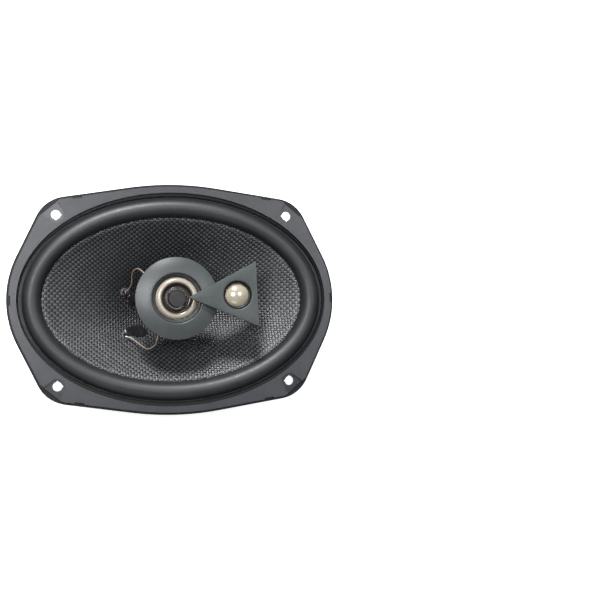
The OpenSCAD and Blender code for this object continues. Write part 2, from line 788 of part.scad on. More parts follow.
module capacitor_mid() {
    color("#20242c") capacitor(-10, 4, 17);
}

module capacitor_dome() {
    color("#20242c") capacitor(10.5, 3.15, 13);
}

// Bent wires from the ends of both capacitors down to the board
module capacitor_leads() {
    color("#b8b9ba") for (c = [[-10, 17, 4], [10.5, 13, 3.15]]) for (side = [-1, 1])
        translate([c[0] + side * c[1] / 2, board_y - c[2], -27.4]) {
            rotate([0, side * 90, 0]) cylinder(r = 0.35, h = 1.6);
            translate([side * 1.6, 0, 0]) rotate([-90, 0, 0]) cylinder(r = 0.35, h = c[2]);
            translate([side * 1.6, 0, 0]) sphere(r = 0.35);
        }
}

basket();
trim_ring();
surround();
spider();
cone();
coil_former();
voice_coil();
lead_eyelets();
glue_pads();
front_lead_upper();
front_lead_lower();
rear_lead_positive();
rear_lead_negative();
front_plate();
magnet();
pole_yoke();
basket_rivets();
post();
post_washer();
post_screw();
mid_housing();
mid_yoke_cup();
mid_magnet();
mid_pole_plate();
mid_phase_plug();
mid_suspension();
mid_clamp_ring();
mid_cone();
mid_coil();
pod_housing();
pod_plate();
pod_screws();
dome_yoke_cup();
dome_magnet();
dome_pole_plate();
dome_suspension();
dome_clamp_ring();
dome();
dome_coil();
terminal_board();
terminal_positive();
terminal_negative();
terminal_rivets();
capacitor_mid();
capacitor_dome();
capacitor_leads();
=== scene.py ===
import math

import bpy
import bmesh
import numpy as np
from mathutils import Matrix, Vector


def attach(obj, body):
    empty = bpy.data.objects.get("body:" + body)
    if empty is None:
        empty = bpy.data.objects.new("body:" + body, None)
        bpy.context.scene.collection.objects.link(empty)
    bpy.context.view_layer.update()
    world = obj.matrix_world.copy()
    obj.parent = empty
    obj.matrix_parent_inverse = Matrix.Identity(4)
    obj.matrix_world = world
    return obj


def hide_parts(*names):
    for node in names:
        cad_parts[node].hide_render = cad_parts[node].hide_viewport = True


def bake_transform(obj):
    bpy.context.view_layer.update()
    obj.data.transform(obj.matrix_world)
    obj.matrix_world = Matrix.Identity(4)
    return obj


MM = 0.001

# ---------------------------------------------------------------- camera, in mm and degrees
CAMERA_DISTANCE = 794
CAMERA_AZIMUTH = 6.3
CAMERA_ELEVATION = -2.4
CAMERA_ROLL = -1.1
CAMERA_LENS = 65.6
CAMERA_AIM = (92.9, -1.4, 0)


def add_camera():
    az = math.radians(CAMERA_AZIMUTH)
    el = math.radians(CAMERA_ELEVATION)
    data = bpy.data.cameras.new("camera")
    data.lens = CAMERA_LENS
    data.sensor_width = 36
    data.clip_end = 20
    data.clip_start = 0.01
    camera = bpy.data.objects.new("camera", data)
    bpy.context.scene.collection.objects.link(camera)
    direction = Vector((-math.sin(az) * math.cos(el), math.sin(el), math.cos(az) * math.cos(el)))
    place = direction * CAMERA_DISTANCE * MM
    back = (place - Vector(CAMERA_AIM) * MM).normalized()
    right = Vector((0, 1, 0)).cross(back).normalized()
    up = back.cross(right)
    roll = math.radians(CAMERA_ROLL)
    side = right * math.cos(roll) + up * math.sin(roll)
    top = up * math.cos(roll) - right * math.sin(roll)
    camera.matrix_world = Matrix((
        (side.x, top.x, back.x, place.x),
        (side.y, top.y, back.y, place.y),
        (side.z, top.z, back.z, place.z),
        (0, 0, 0, 1),
    ))
    bpy.context.scene.camera = camera


add_camera()
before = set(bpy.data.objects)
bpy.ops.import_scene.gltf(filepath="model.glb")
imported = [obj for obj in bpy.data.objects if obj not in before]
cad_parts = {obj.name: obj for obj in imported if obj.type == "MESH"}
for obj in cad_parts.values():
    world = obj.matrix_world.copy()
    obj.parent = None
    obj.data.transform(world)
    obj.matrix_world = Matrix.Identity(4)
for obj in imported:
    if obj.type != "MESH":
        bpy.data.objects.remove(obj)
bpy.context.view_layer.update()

# ---------------------------------------------------------------- sizes, in mm, as in the CAD
LEDGE_Z = -1.5
BOWL_IN = np.array([109.8, 74.6])
RIM = np.array([93.5, 59.25])
LIP_W = 1.8
LIP_Z = LEDGE_Z
CONE_T = 0.7
NECK_R = 13.06
NECK_Z = -37.0
CONE_TOP_Z = -1.8
CONE_LIFT = 0.3
CONE_FLARE = 0.14
RUBBER_T = 0.8
ROLL_IN = RIM + 0.4
ROLL_OUT = ROLL_IN + 13.3
ROLL_H = 6.5
LANDING_Z = -42.0
BRIDGE = 2.4
POD_TURN = math.radians(2.4)
DOME_X = 42.7
EYELETS = ((-33.6, 6.9), (-34.2, -25.9))
SOLDER_R = 0.72
FLOOR_Z = -77.0
FLOOR_HALF = 14000


def cone_size(u):
    """Half length and half width of the cone at share u of the way from its rim to its neck."""
    u = np.asarray(u)[..., None]
    return (RIM - LIP_W) * (1 - u) + NECK_R * u


def cone_z(u):
    share = (1 - CONE_FLARE) * u + CONE_FLARE * np.sin(np.radians(90 * u))
    return CONE_TOP_Z + (NECK_Z - CONE_TOP_Z) * share + CONE_LIFT


def cone_share(x, y):
    """The share u at which the cone passes through (x, y), found by halving."""
    low = np.zeros(np.shape(x))
    high = np.ones(np.shape(x))
    for _ in range(24):
        u = (low + high) / 2
        size = cone_size(u)
        inside = (x / size[..., 0]) ** 2 + (y / size[..., 1]) ** 2 < 1
        low = np.where(inside, u, low)
        high = np.where(inside, high, u)
    return low


def cone_height(x, y):
    return cone_z(cone_share(np.asarray(x, float), np.asarray(y, float)))


# ---------------------------------------------------------------- mesh helpers
def smooth(mesh, angle=38):
    mesh.polygons.foreach_set("use_smooth", [True] * len(mesh.polygons))
    mesh.set_sharp_from_angle(angle=math.radians(angle))


def add_mesh(name, points, faces, angle=38):
    """New object from points in mm and faces, with doubles merged and normals outwards."""
    mesh = bpy.data.meshes.new(name)
    mesh.from_pydata([tuple(float(c) * MM for c in p) for p in points], [], [tuple(f) for f in faces])
    bm = bmesh.new()
    bm.from_mesh(mesh)
    bmesh.ops.remove_doubles(bm, verts=bm.verts, dist=1e-7)
    bmesh.ops.recalc_face_normals(bm, faces=bm.faces)
    bm.to_mesh(mesh)
    bm.free()
    smooth(mesh, angle)
    obj = bpy.data.objects.new(name, mesh)
    bpy.context.scene.collection.objects.link(obj)
    return obj


def ring_faces(rows, columns, wrap_rows=True):
    faces = []
    for j in range(rows if wrap_rows else rows - 1):
        k = (j + 1) % rows
        for i in range(columns):
            i2 = (i + 1) % columns
            faces.append((j * columns + i, j * columns + i2, k * columns + i2, k * columns + i))
    return faces


def rounded(points, radius, steps=4):
    """A closed outline with each corner rounded, by less where an edge is short."""
    points = [np.array(p, float) for p in points]
    out = []
    n = len(points)
    for i, p in enumerate(points):
        a, b = points[i - 1], points[(i + 1) % n]
        la, lb = np.linalg.norm(a - p), np.linalg.norm(b - p)
        r = min(radius, la * 0.45, lb * 0.45)
        start, end = p + (a - p) / la * r, p + (b - p) / lb * r
        turn = abs(np.cross((p - a) / la, (b - p) / lb))
        if turn < 0.08:
            out.append(p)
            continue
        for s in range(steps + 1):
            t = s / steps
            out.append((1 - t) ** 2 * start + 2 * t * (1 - t) * p + t * t * end)
    return out


def lathe(name, outline, centre=(0, 0, 0), turn=128, angle=38):
    """Solid of revolution about +Z through centre; outline is closed, as (radius, height)."""
    points = []
    for r, z in outline:
        r = max(r, 0)
        for i in range(turn):
            a = 2 * math.pi * i / turn
            points.append((centre[0] + r * math.cos(a), centre[1] + r * math.sin(a), centre[2] + z))
    return add_mesh(name, points, ring_faces(len(outline), turn), angle)


def oval_loft(name, rows, turn=256, angle=38):
    """Closed ring; each row is (half length, half width, height)."""
    points = []
    for a, b, z in rows:
        for i in range(turn):
            t = 2 * math.pi * i / turn
            points.append((a * math.cos(t), b * math.sin(t), z))
    return add_mesh(name, points, ring_faces(len(rows), turn), angle)


def spline(points, steps=10):
    """Smooth line through a few points (Catmull-Rom)."""
    p = [np.array(q, float) for q in points]
    out = []
    for k in range(len(p) - 1):
        a, b, c, d = p[max(k - 1, 0)], p[k], p[k + 1], p[min(k + 2, len(p) - 1)]
        for s in range(steps):
            t = s / steps
            out.append(b + (c - a) * t / 2 + (2 * a - 5 * b + 4 * c - d) * t ** 2 / 2
                       + (3 * b - 3 * c + d - a) * t ** 3 / 2)
    out.append(p[-1])
    return out


def tube(name, path, radius, sides=14, taper=None):
    """Round tube along a path; radius may change along it by taper(share)."""
    points = []
    normal = None
    for k, p in enumerate(path):
        ahead = path[min(k + 1, len(path) - 1)] - path[max(k - 1, 0)]
        t = ahead / np.linalg.norm(ahead)
        if normal is None:
            helper = np.array([0, 0, 1.0]) if abs(t[2]) < 0.9 else np.array([1.0, 0, 0])
            normal = np.cross(helper, t)
        normal = normal - t * normal.dot(t)
        normal = normal / np.linalg.norm(normal)
        side = np.cross(t, normal)
        r = radius * (taper(k / (len(path) - 1)) if taper else 1)
        for i in range(sides):
            a = 2 * math.pi * i / sides
            points.append(p + r * (normal * math.cos(a) + side * math.sin(a)))
    faces = ring_faces(len(path), sides, wrap_rows=False)
    faces.append(tuple(range(sides))[::-1])
    faces.append(tuple((len(path) - 1) * sides + i for i in range(sides)))
    return add_mesh(name, points, faces, 50)


# ---------------------------------------------------------------- materials
class Nodes:
    """A short way to write a material's node tree."""

    def __init__(self, name):
        self.material = bpy.data.materials.new(name)
        self.material.use_nodes = True
        self.tree = self.material.node_tree
        self.shader = self.tree.nodes["Principled BSDF"]

    def add(self, kind, **settings):
        node = self.tree.nodes.new(kind)
        for key, value in settings.items():
            setattr(node, key, value)
        return node

    def link(self, source, target):
        self.tree.links.new(source, target)

    def feed(self, value, socket):
        if isinstance(value, (int, float)):
            socket.default_value = value
        else:
            self.link(value, socket)

    def math(self, operation, a, b=0.0):
        node = self.add("ShaderNodeMath", operation=operation)
        self.feed(a, node.inputs[0])
        self.feed(b, node.inputs[1])
        return node.outputs[0]

    def product(self, first, *others):
        for other in others:
            first = self.math("MULTIPLY", first, other)
        return first

    def length(self, x, y):
        return self.math("SQRT", self.math("ADD", self.math("MULTIPLY", x, x), self.math("MULTIPLY", y, y)))

    def object_xyz(self):
        """Object coordinates in mm, as three sockets, and the vector itself."""
        coordinates = self.add("ShaderNodeTexCoord")
        scale = self.add("ShaderNodeVectorMath", operation="SCALE")
        self.link(coordinates.outputs["Object"], scale.inputs[0])
        scale.inputs["Scale"].default_value = 1 / MM
        split = self.add("ShaderNodeSeparateXYZ")
        self.link(scale.outputs[0], split.inputs[0])
        return split.outputs[0], split.outputs[1], split.outputs[2], scale.outputs[0]

    def noise(self, vector, scale, detail=4.0, rough=0.55, stretch=None):
        if stretch is not None:
            product = self.add("ShaderNodeVectorMath", operation="MULTIPLY")
            self.feed(vector, product.inputs[0])
            product.inputs[1].default_value = stretch
            vector = product.outputs[0]
        node = self.add("ShaderNodeTexNoise")
        self.feed(vector, node.inputs["Vector"])
        node.inputs["Scale"].default_value = scale
        node.inputs["Detail"].default_value = detail
        node.inputs["Roughness"].default_value = rough
        return node.outputs["Fac"]

    def ramp(self, value, stops):
        node = self.add("ShaderNodeValToRGB")
        self.link(value, node.inputs[0])
        elements = node.color_ramp.elements
        while len(elements) < len(stops):
            elements.new(0.5)
        for element, (place, colour) in zip(elements, stops):
            element.position = place
            element.color = (*colour, 1)
        return node.outputs["Color"]

    def spread(self, value, low, high, to_low, to_high):
        node = self.add("ShaderNodeMapRange")
        self.feed(value, node.inputs["Value"])
        node.inputs["From Min"].default_value = low
        node.inputs["From Max"].default_value = high
        node.inputs["To Min"].default_value = to_low
        node.inputs["To Max"].default_value = to_high
        return node.outputs["Result"]

    def bump(self, height, distance, normal=None):
        node = self.add("ShaderNodeBump")
        node.inputs["Strength"].default_value = 1.0
        node.inputs["Distance"].default_value = distance * MM
        self.feed(height, node.inputs["Height"])
        if normal is not None:
            self.link(normal, node.inputs["Normal"])
        return node.outputs["Normal"]

    def finish(self, colour, rough, normal=None, **fixed):
        self.link(colour, self.shader.inputs["Base Color"])
        self.feed(rough, self.shader.inputs["Roughness"])
        if normal is not None:
            self.link(normal, self.shader.inputs["Normal"])
        for key, value in fixed.items():
            self.shader.inputs[key.replace("_", " ")].default_value = value
        return self.material


def moulded(name, low, high, rough=(0.4, 0.5), grain=3.2, depth=0.05, **fixed):
    """Moulded or painted surface: slight colour variation, fine grain and uneven gloss."""
    n = Nodes(name)
    _, _, _, p = n.object_xyz()
    broad = n.noise(p, 0.05, 3)
    fine = n.noise(p, grain, 3)
    colour = n.ramp(broad, [(0.3, low), (0.7, high)])
    gloss = n.spread(n.noise(p, 0.4, 5), 0.3, 0.7, *rough)
    return n.finish(colour, gloss, n.bump(fine, depth), **fixed)


def turned(name, low, high, rough=(0.25, 0.4), pitch=9.0, depth=0.02, **fixed):
    """Surface with concentric tool marks about the main axis."""
    n = Nodes(name)
    x, y, z, p = n.object_xyz()
    along = n.add("ShaderNodeCombineXYZ")
    n.link(n.length(x, y), along.inputs[0])
    n.link(n.math("MULTIPLY", z, 0.3), along.inputs[1])
    marks = n.noise(along.outputs[0], pitch, 3, 0.7)
    shade = n.noise(along.outputs[0], pitch * 0.22, 2, 0.6)
    mixed = n.math("ADD", n.math("MULTIPLY", shade, 0.6), n.math("MULTIPLY", n.noise(p, 0.12, 3), 0.4))
    colour = n.ramp(mixed, [(0.35, low), (0.65, high)])
    gloss = n.spread(marks, 0.3, 0.7, *rough)
    return n.finish(colour, gloss, n.bump(marks, depth), **fixed)


def woven(name, half, pitch=2.07):
    """Plain weave of glossy threads along X and Y, drawn closer together where the cone is steep."""
    n = Nodes(name)
    x, y, _, p = n.object_xyz()
    sx = n.math("DIVIDE", x, float(half[0]))
    sy = n.math("DIVIDE", y, float(half[1]))
    reach = n.length(sx, sy)
    drape = n.math("MULTIPLY", n.math("SUBTRACT", n.noise(p, 0.02, 2), 0.5), 2.5)

    def cloth_place(c, share, steep):
        slant = n.math("DIVIDE", n.math("ABSOLUTE", share), reach)
        stretch = n.math("ADD", 1.0, n.math("MULTIPLY", steep, slant))
        return n.math("DIVIDE", n.math("ADD", n.math("MULTIPLY", c, stretch), drape), pitch)

    u = cloth_place(x, sx, 0.04)
    v = cloth_place(y, sy, 0.3)
    fu = n.math("SUBTRACT", n.math("FRACT", u), 0.5)
    fv = n.math("SUBTRACT", n.math("FRACT", v), 0.5)
    weft_up = n.math("PINGPONG", n.math("ADD", n.math("FLOOR", u), n.math("FLOOR", v)), 1.0)
    turn = math.pi * 0.75

    def thread(across, along, lift):
        """Height, slope across and slope along of a thread that arches over its cell."""
        t = n.math("MULTIPLY", across, 2.0)
        size = n.math("ABSOLUTE", t)
        body = n.math("SUBTRACT", 1.0, n.math("POWER", size, 3.0))
        arch = n.math("COSINE", n.math("MULTIPLY", along, turn))
        sway = n.math("SINE", n.math("MULTIPLY", along, turn))
        slope_across = n.product(t, size, arch, -6 * lift / pitch)
        slope_along = n.product(sway, body, -turn * lift / pitch)
        return n.product(body, arch), slope_across, slope_along

    def either(warp, weft):
        """The warp's value where the warp lies on top, else the weft's."""
        shown = n.math("MULTIPLY", warp, n.math("SUBTRACT", 1.0, weft_up))
        return n.math("ADD", shown, n.math("MULTIPLY", weft, weft_up))

    warp_h, warp_x, warp_y = thread(fu, fv, 0.34)
    weft_h, weft_y, weft_x = thread(fv, fu, 0.28)
    slope = n.add("ShaderNodeCombineXYZ")
    n.link(either(warp_x, weft_x), slope.inputs[0])
    n.link(either(warp_y, weft_y), slope.inputs[1])
    tilt = n.add("ShaderNodeVectorMath", operation="SUBTRACT")
    n.link(n.add("ShaderNodeNewGeometry").outputs["Normal"], tilt.inputs[0])
    n.link(slope.outputs[0], tilt.inputs[1])
    normal = n.add("ShaderNodeVectorMath", operation="NORMALIZE")
    n.link(tilt.outputs[0], normal.inputs[0])
    height = either(warp_h, weft_h)
    strands = either(n.noise(p, 5.0, 2, 0.6, (2.2, 0.25, 0.25)), n.noise(p, 5.0, 2, 0.6, (0.25, 2.2, 0.25)))
    uneven = n.noise(p, 0.09, 3)
    # Painted reflection: warp threads are coloured darker and weft threads lighter, and each thread is
    # coloured darker towards its low edges as painted shade between threads.
    painted_thread_sheen_and_gap_shade = either(n.spread(height, 0.0, 0.8, 0.1, 0.25), n.spread(height, 0.0, 0.8, 0.45, 1.0))
    # Painted shade: the weave is coloured darker towards the neck, where the cone's depth and the disc shade
    # it.
    painted_neck_shade = n.product(n.spread(reach, 0.5, 0.85, 0.5, 1.0), n.spread(reach, 0.3, 0.52, 0.35, 1.0))
    uneven_tone_and_painted_light = n.product(painted_thread_sheen_and_gap_shade, n.product(n.spread(uneven, 0.3, 0.7, 0.8, 1.1), painted_neck_shade))
    colour = n.ramp(uneven_tone_and_painted_light, [
        (0.0, (0.0015, 0.0015, 0.002)), (0.5, (0.035, 0.038, 0.041)), (1.0, (0.092, 0.097, 0.102)),
    ])
    gloss = either(n.spread(strands, 0.3, 0.7, 0.18, 0.3), n.spread(strands, 0.3, 0.7, 0.3, 0.42))
    relief = n.bump(strands, 0.06, normal=normal.outputs[0])
    return n.finish(colour, gloss, relief, Coat_Weight=0.2, Coat_Roughness=0.3)


def banded(name, bands, rough, **fixed):
    """Film about the main axis whose colour changes with the radius; bands are (radius, colour)."""
    n = Nodes(name)
    x, y, _, p = n.object_xyz()
    last = bands[-1][0]
    colour = n.ramp(n.math("DIVIDE", n.length(x, y), last), [(r / last, c) for r, c in bands])
    gloss = n.spread(n.noise(p, 0.4, 4), 0.3, 0.7, *rough)
    return n.finish(colour, gloss, n.bump(n.noise(p, 2.5, 3), 0.012), **fixed)


def cloth(name):
    """Coarse phenolic cloth of the spider."""
    n = Nodes(name)
    x, y, _, p = n.object_xyz()
    waves = [n.math("SINE", n.math("MULTIPLY", c, 7.0)) for c in (x, y)]
    weave = n.product(*waves)
    colour = n.ramp(n.noise(p, 0.5, 4), [(0.3, (0.34, 0.2, 0.06)), (0.7, (0.5, 0.33, 0.11))])
    return n.finish(colour, 0.7, n.bump(weave, 0.1))


DOME_C = (DOME_X * math.cos(POD_TURN), DOME_X * math.sin(POD_TURN))
M = {
    "trim": moulded("trim_plastic", (0.012, 0.0145, 0.0195), (0.018, 0.0215, 0.028), (0.36, 0.44), 3.0, 0.04,
                    Specular_IOR_Level=0.75),
    "paint": moulded("basket_paint", (0.0022, 0.0024, 0.003), (0.0045, 0.005, 0.006), (0.42, 0.52), 1.6, 0.05,
                     Specular_IOR_Level=0.3),
    "rubber": moulded("surround_rubber", (0.0115, 0.013, 0.015), (0.017, 0.019, 0.0215), (0.44, 0.54), 2.0,
                      0.02, Specular_IOR_Level=0.6),
    "weave": woven("cone_weave", RIM),
    "spider": cloth("spider_cloth"),
    "former": turned("former_foil", (0.5, 0.49, 0.46), (0.66, 0.64, 0.6), (0.25, 0.4), 3.0, 0.02,
                     Metallic=1.0),
    "copper": moulded("copper_wire", (0.62, 0.25, 0.12), (0.75, 0.34, 0.17), (0.2, 0.35), 4.0, 0.02,
                       Metallic=1.0),
    "lead": moulded("lead_copper", (0.62, 0.43, 0.32), (0.8, 0.62, 0.5), (0.25, 0.38), 5.0, 0.03,
                     Metallic=0.55),
    "braid": moulded("lead_braid", (0.5, 0.3, 0.18), (0.66, 0.44, 0.3), (0.35, 0.5), 6.0, 0.12, Metallic=0.9),
    "brass": moulded("brass", (0.62, 0.44, 0.17), (0.76, 0.58, 0.27), (0.2, 0.35), 2.0, 0.02, Metallic=1.0),
    "glue": moulded("glue", (0.006, 0.006, 0.007), (0.012, 0.012, 0.013), (0.12, 0.3), 0.7, 0.25),
    "clear_glue": moulded("clear_glue", (0.05, 0.05, 0.055), (0.09, 0.09, 0.095), (0.16, 0.24), 0.8, 0.05,
                          Coat_Weight=0.4),
    "plate": turned("plate_steel", (0.025, 0.026, 0.028), (0.04, 0.041, 0.043), (0.35, 0.5), 3.0, 0.03),
    "ferrite": moulded("ferrite", (0.035, 0.035, 0.037), (0.06, 0.06, 0.063), (0.55, 0.75), 1.2, 0.12),
    "zinc": moulded("zinc", (0.5, 0.5, 0.48), (0.66, 0.66, 0.64), (0.25, 0.4), 1.5, 0.02, Metallic=1.0),
    "rivet": moulded("rivet_steel", (0.16, 0.16, 0.17), (0.26, 0.26, 0.27), (0.3, 0.45), 1.5, 0.03,
                      Metallic=1.0),
    "nickel": turned("nickel", (0.45, 0.44, 0.42), (0.58, 0.57, 0.55), (0.25, 0.35), 4.0, 0.02, Metallic=1.0),
    "bridge": moulded("bridge_plastic", (0.006, 0.007, 0.008), (0.011, 0.012, 0.014), (0.4, 0.52), 3.0, 0.04),
    "disc": turned("disc_grey", (0.04, 0.046, 0.048), (0.054, 0.061, 0.063), (0.31, 0.39), 6.0, 0.02,
                   Specular_IOR_Level=0.45),
    "pod": moulded("pod_grey", (0.034, 0.042, 0.041), (0.047, 0.056, 0.055), (0.38, 0.48), 3.5, 0.04),
    "plug": moulded("plug_black", (0.0035, 0.0035, 0.0045), (0.0065, 0.0065, 0.008), (0.5, 0.62), 3.5, 0.07),
    "cream": banded("diaphragm_film", [
        # Painted shade: the bands from 8.8 to 11.4 mm colour the valley of the film darker, as if its dip
        # were shaded all round.
        (7.0, (0.03, 0.025, 0.02)), (8.3, (0.06, 0.05, 0.04)), (8.8, (0.014, 0.011, 0.009)),
        (10.5, (0.022, 0.017, 0.013)), (11.4, (0.14, 0.12, 0.095)), (12.2, (0.34, 0.305, 0.25)),
        (15.0, (0.37, 0.335, 0.28)),
    ], (0.24, 0.28), Metallic=0.1, Coat_Weight=0.25),
    "dome": moulded("dome_film", (0.4, 0.36, 0.275), (0.49, 0.445, 0.35), (0.14, 0.2), 0.6, 0.05,
                    Metallic=0.3, Coat_Weight=0.6),
    "board": moulded("board", (0.1, 0.045, 0.018), (0.17, 0.085, 0.035), (0.5, 0.65), 1.2, 0.06),
    "sleeve": moulded("cap_sleeve", (0.012, 0.02, 0.05), (0.02, 0.03, 0.07), (0.16, 0.28), 1.0, 0.03),
    "screw": moulded("screw_black", (0.012, 0.012, 0.013), (0.03, 0.03, 0.031), (0.3, 0.4), 2.0, 0.02,
                      Metallic=0.5),
}


def paint(obj, key):
    obj.data.materials.clear()
    obj.data.materials.append(M[key])
    return obj


def on_body(obj, key, body, *replaced):
    paint(obj, key)
    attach(obj, body)
    if replaced:
        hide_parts(*replaced)
    return obj


def bending(obj, key, body, weights, *replaced):
    """Paints a flexible piece and bakes its transform; each point's share of the moving body is worked out
    from weights, from its place in mm, but is not stored.
    """
    paint(obj, key)
    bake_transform(obj)
    place = np.array([v.co for v in obj.data.vertices], float) / MM
    share = np.clip(weights(place), 0, 1)
    share = share * share * (3 - 2 * share)
    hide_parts(*replaced)
    return obj


# ---------------------------------------------------------------- cone and its suspension
def half_roll(inner, outer, height, base_in, base_out, steps=18):
    """Rows of a half-round bead between two ovals."""
    rows = []
    for k in range(steps + 1):
        s = math.pi * k / steps
        t = (1 - math.cos(s)) / 2
        a, b = inner * (1 - t) + outer * t
        rows.append((a, b, base_in * (1 - t) + base_out * t + height * math.sin(s)))
    return rows


def make_surround():
    top_z = LEDGE_Z + RUBBER_T
    under_lip = LIP_Z - CONE_T - 0.02
    foot_in = RIM - LIP_W + 0.3
    foot_out = BOWL_IN - 0.5
    rows = [(*foot_in, under_lip), (*(ROLL_IN - 0.15), under_lip)]
    rows += half_roll(ROLL_IN, ROLL_OUT, ROLL_H, top_z, top_z)[1:]
    outer_bead = ((0.2, 0), (0.45, 0.22), (0.75, 0.22), (1.0, 0))
    rows += [(*(ROLL_OUT + across), top_z + up) for across, up in outer_bead]
    rows += [(*(foot_out - 0.1), top_z - 0.05), (*foot_out, top_z - 0.2), (*foot_out, LEDGE_Z + 0.02)]
    under = half_roll(ROLL_IN + RUBBER_T, ROLL_OUT - RUBBER_T, ROLL_H, LEDGE_Z, LEDGE_Z)[1:]
    rows += [(a, b, z + 0.02) for a, b, z in reversed(under)]
    rows += [(*(ROLL_IN + RUBBER_T), under_lip - RUBBER_T), (*foot_in, under_lip - RUBBER_T)]
    obj = oval_loft("surround_roll", rows, 288, 40)

    def weights(place):
        inner = np.hypot(place[:, 0] / ROLL_IN[0], place[:, 1] / ROLL_IN[1])
        outer = np.hypot(place[:, 0] / ROLL_OUT[0], place[:, 1] / ROLL_OUT[1])
        return (1 - outer) / (inner - outer)
    return bending(obj, "rubber", "cone_assembly", weights, "surround")


def make_cone():
    shares = np.linspace(0, 1, 60)
    rows = [(*RIM, LIP_Z - 0.3), (*(RIM - 0.15), LIP_Z - 0.03)]
    rows += [(*cone_size(u), float(cone_z(u)) - (0.03 if u == 0 else 0)) for u in shares]
    rows += [(*(cone_size(u) + CONE_T * 0.3), float(cone_z(u)) - CONE_T) for u in shares[::-1]]
    rows += [(*(RIM - 0.15), LIP_Z - CONE_T)]
    return on_body(oval_loft("woven_cone", rows, 288, 60), "weave", "cone_assembly", "cone")


def make_spider():
    inner, outer = NECK_R + 0.02, 35.5
    top = []
    n = 100
    for k in range(n + 1):
        r = inner + 2 + (outer - inner - 2) * k / n
        top.append((r, LANDING_Z + 0.3 + 1.5 * math.sin(2 * math.pi * 5 * k / n)))
    line = [(inner, LANDING_Z + 0.3)] + top + [(40.5, LANDING_Z + 0.3)]
    outline = [(r, z + 0.22) for r, z in line] + [(r, z - 0.22) for r, z in reversed(line)]
    obj = lathe("spider_corrugated", outline, turn=160, angle=60)

    def weights(place):
        return (outer - np.hypot(place[:, 0], place[:, 1])) / (outer - inner - 1)
    return bending(obj, "spider", "cone_assembly", weights, "spider")


UPPER_LEAD = [(-12.1, 8, 7.4), (-17.5, 13.5, 7.8), (-22.5, 19.3, 5), (-26.2, 22.4, -1), (-29.2, 19.7, -9),
              (-29.3, 12.5, -17), (-31.2, 8.8, -23.2)]
LOWER_LEAD = [(-8.1, -12.1, 7.4), (-10.5, -20, 7.6), (-13, -27.4, 4), (-13.9, -32, -1), (-18.9, -35.4, -6),
              (-23.5, -32.5, -11.5), (-29.6, -27.6, -17.2)]


def make_lead(name, points, radius, key, node, top, bottom):
    obj = tube(name, spline(points, 12), radius)

    def weights(place):
        along = (top - place) @ (top - bottom) / ((top - bottom) @ (top - bottom))
        return along * 1.04
    return bending(obj, key, "cone_assembly", weights, node)


def make_leads():
    for name, line, (ex, ey) in (("upper", UPPER_LEAD, EYELETS[0]), ("lower", LOWER_LEAD, EYELETS[1])):
        end = (ex, ey, float(cone_height(ex, ey)) + 1.6)
        make_lead("tweeter_wire_" + name, line + [end], 0.4, "lead", "front_lead_" + name,
                  np.array(line[0], float), np.array(end, float))
    last = spline([LOWER_LEAD[-2], LOWER_LEAD[-1], end], 12)
    solder = tube("soldered_end", last[9:19], SOLDER_R, taper=lambda t: 0.75 + 0.25 * math.sin(math.pi * t))
    on_body(solder, "zinc", "cone_assembly")
    for name, x in (("positive", -8.0), ("negative", 8.0)):
        line = [(x, -39.6, -34), (x, -36.8, -35.4), (x, -32.4, -37.2), (x, -28, -36.4), (x, -25.4, -33),
                (x, -24.8, -29.3)]
        make_lead("braided_wire_" + name, line, 0.58, "braid", "rear_lead_" + name,
                  np.array(line[0], float), np.array(line[-1], float))


def make_glue(name, centre, size, phase, hollow=False):
    """A flat drop of glue on the cone, with an uneven edge; hollow leaves a ring with a low middle."""
    rings, turn = 14, 72
    points = []
    for side in (1, 0):
        for j in range(rings + 1):
            s = j / rings if side else 1 - j / rings
            for i in range(turn):
                a = 2 * math.pi * i / turn
                edge = 1 + 0.13 * math.sin(2 * a + phase) + 0.07 * math.sin(3 * a + 2 * phase)
                edge += 0.03 * math.sin(7 * a)
                x = centre[0] + size[0] * edge * s * math.cos(a)
                y = centre[1] + size[1] * edge * s * math.sin(a)
                crown = math.sin(math.pi * s ** 1.6) if hollow else math.sqrt(max(1 - s ** 3, 0))
                crown *= size[2] * (1 + 0.15 * math.sin(3 * a + phase) * s)
                points.append((x, y, float(cone_height(x, y)) + 0.02 + (crown if side else -0.01)))
    return add_mesh(name, points, ring_faces(2 * (rings + 1), turn), 60)


def make_glue_pads():
    pads = [
        make_glue("glue_upper", (-27.6, 1.6), (4.5, 4.6, 0.9), 0.4),
        make_glue("glue_lower", (-25.6, -22.2), (7.4, 4.9, 0.9), 2.1),
        make_glue("eyelet_glue_upper", EYELETS[0], (3.1, 3.2, 1.2), 1.2, True),
        make_glue("eyelet_glue_lower", EYELETS[1], (2.5, 3.9, 1.3), 3.0, True),
    ]
    on_body(pads[0], "glue", "cone_assembly", "glue_pads")
    on_body(pads[1], "glue", "cone_assembly")
    for pad in pads[2:]:
        on_body(pad, "clear_glue", "cone_assembly")


